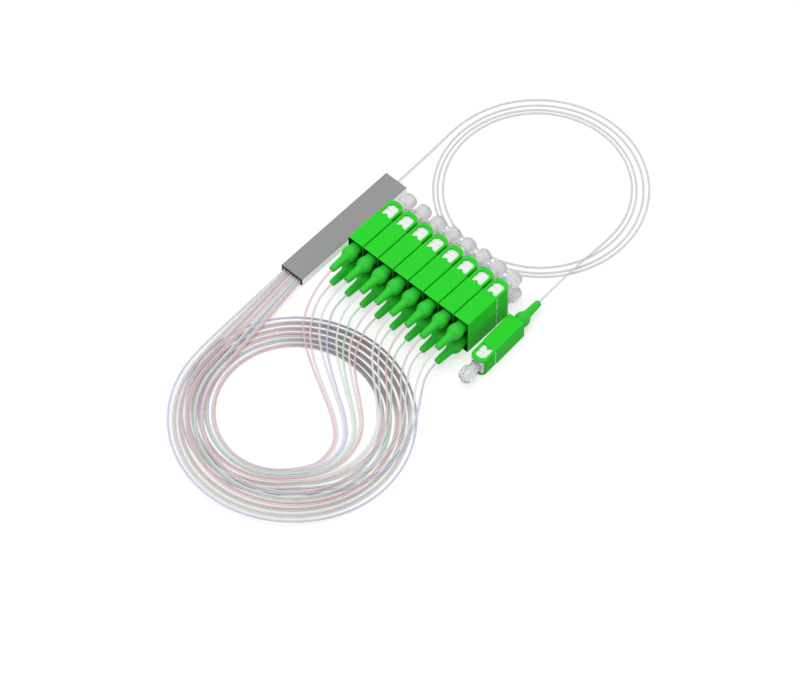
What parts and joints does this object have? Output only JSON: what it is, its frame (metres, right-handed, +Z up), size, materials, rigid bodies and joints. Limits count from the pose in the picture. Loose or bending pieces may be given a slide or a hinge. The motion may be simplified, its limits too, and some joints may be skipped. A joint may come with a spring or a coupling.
{
  "type": "plc fibre splitter",
  "caption": "Slim metal tube splitter with one input cord and a flat stack of output cords, each ending in a green push-pull plug under a clear dust cap; both cord runs lie coiled.",
  "frame": {"origin": "middle of the tube module's underside", "axes": "+X along the module towards its input end, +Z up from the surface it lies on, +Y to the side away from the stacked plugs"},
  "size_m": [0.2377, 0.0994, 0.0182],
  "materials": {
    "grip_green": "satin",
    "boot_green": "matte",
    "cap_clear": "satin",
    "frame_white": "satin",
    "ferrule_ceramic": "polished",
    "plated_metal": "satin",
    "spring_steel": "satin",
    "case_steel": "satin",
    "potting_grey": "matte",
    "silica": "polished",
    "cord_jacket": "satin"
  },
  "bodies": {
    "splitter": {"module_case": "case_steel", "input_end_seal": "potting_grey", "output_end_seal": "potting_grey", "splitter_chip": "silica", "input_fibre_block": "silica", "output_fibre_block": "silica", "input_fibre": "silica", "fibre_ribbon": "silica", "input_plug_frame": "frame_white", "input_spring": "spring_steel", "input_stop_body": "plated_metal", "input_boot": "boot_green", "output_plug_frames": "frame_white", "output_ferrules": "ferrule_ceramic", "output_springs": "spring_steel", "output_stop_bodies": "plated_metal", "output_boots": "boot_green", "input_lead": "cord_jacket", "input_coil": "cord_jacket", "input_tail": "cord_jacket", "output_leads": "cord_jacket", "output_coil": "cord_jacket", "output_tails": "cord_jacket"},
    "input_ferrule": {"input_ferrule": "ferrule_ceramic", "input_ferrule_holder": "plated_metal"},
    "input_grip": {"input_grip": "grip_green"},
    "input_dust_cap": {"input_dust_cap": "cap_clear"},
    "grip_01": {"grip_01": "grip_green"},
    "grip_02": {"grip_02": "grip_green"},
    "grip_03": {"grip_03": "grip_green"},
    "grip_04": {"grip_04": "grip_green"},
    "grip_05": {"grip_05": "grip_green"},
    "grip_06": {"grip_06": "grip_green"},
    "grip_07": {"grip_07": "grip_green"},
    "grip_08": {"grip_08": "grip_green"},
    "grip_09": {"grip_09": "grip_green"},
    "grip_10": {"grip_10": "grip_green"},
    "grip_11": {"grip_11": "grip_green"},
    "grip_12": {"grip_12": "grip_green"},
    "grip_13": {"grip_13": "grip_green"},
    "grip_14": {"grip_14": "grip_green"},
    "grip_15": {"grip_15": "grip_green"},
    "grip_16": {"grip_16": "grip_green"},
    "dust_cap_01": {"dust_cap_01": "cap_clear"},
    "dust_cap_02": {"dust_cap_02": "cap_clear"},
    "dust_cap_03": {"dust_cap_03": "cap_clear"},
    "dust_cap_04": {"dust_cap_04": "cap_clear"},
    "dust_cap_05": {"dust_cap_05": "cap_clear"},
    "dust_cap_06": {"dust_cap_06": "cap_clear"},
    "dust_cap_07": {"dust_cap_07": "cap_clear"},
    "dust_cap_08": {"dust_cap_08": "cap_clear"},
    "dust_cap_09": {"dust_cap_09": "cap_clear"},
    "dust_cap_10": {"dust_cap_10": "cap_clear"},
    "dust_cap_11": {"dust_cap_11": "cap_clear"},
    "dust_cap_12": {"dust_cap_12": "cap_clear"},
    "dust_cap_13": {"dust_cap_13": "cap_clear"},
    "dust_cap_14": {"dust_cap_14": "cap_clear"},
    "dust_cap_15": {"dust_cap_15": "cap_clear"},
    "dust_cap_16": {"dust_cap_16": "cap_clear"}
  },
  "joints": [
    {"name": "grip_01_slide", "type": "slide", "parent": "splitter", "child": "grip_01", "axis": [-1, 0, 0], "range_m": [0, 0.0012]},
    {"name": "grip_02_slide", "type": "slide", "parent": "splitter", "child": "grip_02", "axis": [-1, 0, 0], "range_m": [0, 0.0012]},
    {"name": "grip_03_slide", "type": "slide", "parent": "splitter", "child": "grip_03", "axis": [-1, 0, 0], "range_m": [0, 0.0012]},
    {"name": "grip_04_slide", "type": "slide", "parent": "splitter", "child": "grip_04", "axis": [-1, 0, 0], "range_m": [0, 0.0012]},
    {"name": "grip_05_slide", "type": "slide", "parent": "splitter", "child": "grip_05", "axis": [-1, 0, 0], "range_m": [0, 0.0012]},
    {"name": "grip_06_slide", "type": "slide", "parent": "splitter", "child": "grip_06", "axis": [-1, 0, 0], "range_m": [0, 0.0012]},
    {"name": "grip_07_slide", "type": "slide", "parent": "splitter", "child": "grip_07", "axis": [-1, 0, 0], "range_m": [0, 0.0012]},
    {"name": "grip_08_slide", "type": "slide", "parent": "splitter", "child": "grip_08", "axis": [-1, 0, 0], "range_m": [0, 0.0012]},
    {"name": "grip_09_slide", "type": "slide", "parent": "splitter", "child": "grip_09", "axis": [-1, 0, 0], "range_m": [0, 0.0012]},
    {"name": "grip_10_slide", "type": "slide", "parent": "splitter", "child": "grip_10", "axis": [-1, 0, 0], "range_m": [0, 0.0012]},
    {"name": "grip_11_slide", "type": "slide", "parent": "splitter", "child": "grip_11", "axis": [-1, 0, 0], "range_m": [0, 0.0012]},
    {"name": "grip_12_slide", "type": "slide", "parent": "splitter", "child": "grip_12", "axis": [-1, 0, 0], "range_m": [0, 0.0012]},
    {"name": "grip_13_slide", "type": "slide", "parent": "splitter", "child": "grip_13", "axis": [-1, 0, 0], "range_m": [0, 0.0012]},
    {"name": "grip_14_slide", "type": "slide", "parent": "splitter", "child": "grip_14", "axis": [-1, 0, 0], "range_m": [0, 0.0012]},
    {"name": "grip_15_slide", "type": "slide", "parent": "splitter", "child": "grip_15", "axis": [-1, 0, 0], "range_m": [0, 0.0012]},
    {"name": "grip_16_slide", "type": "slide", "parent": "splitter", "child": "grip_16", "axis": [-1, 0, 0], "range_m": [0, 0.0012]},
    {"name": "dust_cap_01_pull", "type": "slide", "parent": "splitter", "child": "dust_cap_01", "axis": [1, 0, 0], "range_m": [0, 0.01]},
    {"name": "dust_cap_02_pull", "type": "slide", "parent": "splitter", "child": "dust_cap_02", "axis": [1, 0, 0], "range_m": [0, 0.01]},
    {"name": "dust_cap_03_pull", "type": "slide", "parent": "splitter", "child": "dust_cap_03", "axis": [1, 0, 0], "range_m": [0, 0.01]},
    {"name": "dust_cap_04_pull", "type": "slide", "parent": "splitter", "child": "dust_cap_04", "axis": [1, 0, 0], "range_m": [0, 0.01]},
    {"name": "dust_cap_05_pull", "type": "slide", "parent": "splitter", "child": "dust_cap_05", "axis": [1, 0, 0], "range_m": [0, 0.01]},
    {"name": "dust_cap_06_pull", "type": "slide", "parent": "splitter", "child": "dust_cap_06", "axis": [1, 0, 0], "range_m": [0, 0.01]},
    {"name": "dust_cap_07_pull", "type": "slide", "parent": "splitter", "child": "dust_cap_07", "axis": [1, 0, 0], "range_m": [0, 0.01]},
    {"name": "dust_cap_08_pull", "type": "slide", "parent": "splitter", "child": "dust_cap_08", "axis": [1, 0, 0], "range_m": [0, 0.01]},
    {"name": "dust_cap_09_pull", "type": "slide", "parent": "splitter", "child": "dust_cap_09", "axis": [1, 0, 0], "range_m": [0, 0.01]},
    {"name": "dust_cap_10_pull", "type": "slide", "parent": "splitter", "child": "dust_cap_10", "axis": [1, 0, 0], "range_m": [0, 0.01]},
    {"name": "dust_cap_11_pull", "type": "slide", "parent": "splitter", "child": "dust_cap_11", "axis": [1, 0, 0], "range_m": [0, 0.01]},
    {"name": "dust_cap_12_pull", "type": "slide", "parent": "splitter", "child": "dust_cap_12", "axis": [1, 0, 0], "range_m": [0, 0.01]},
    {"name": "dust_cap_13_pull", "type": "slide", "parent": "splitter", "child": "dust_cap_13", "axis": [1, 0, 0], "range_m": [0, 0.01]},
    {"name": "dust_cap_14_pull", "type": "slide", "parent": "splitter", "child": "dust_cap_14", "axis": [1, 0, 0], "range_m": [0, 0.01]},
    {"name": "dust_cap_15_pull", "type": "slide", "parent": "splitter", "child": "dust_cap_15", "axis": [1, 0, 0], "range_m": [0, 0.01]},
    {"name": "dust_cap_16_pull", "type": "slide", "parent": "splitter", "child": "dust_cap_16", "axis": [1, 0, 0], "range_m": [0, 0.01]},
    {"name": "input_grip_slide", "type": "slide", "parent": "splitter", "child": "input_grip", "axis": [0.9987, 0.0506, 0], "range_m": [0, 0.0012]},
    {"name": "input_dust_cap_pull", "type": "slide", "parent": "splitter", "child": "input_dust_cap", "axis": [-0.9987, -0.0506, 0], "range_m": [0, 0.01]},
    {"name": "input_ferrule_float", "type": "slide", "parent": "splitter", "child": "input_ferrule", "axis": [0.9987, 0.0506, 0], "range_m": [0, 0.001], "stiffness_N_per_m": 1000, "springref_m": -0.004, "deforming": ["input_spring"]}
  ]
}
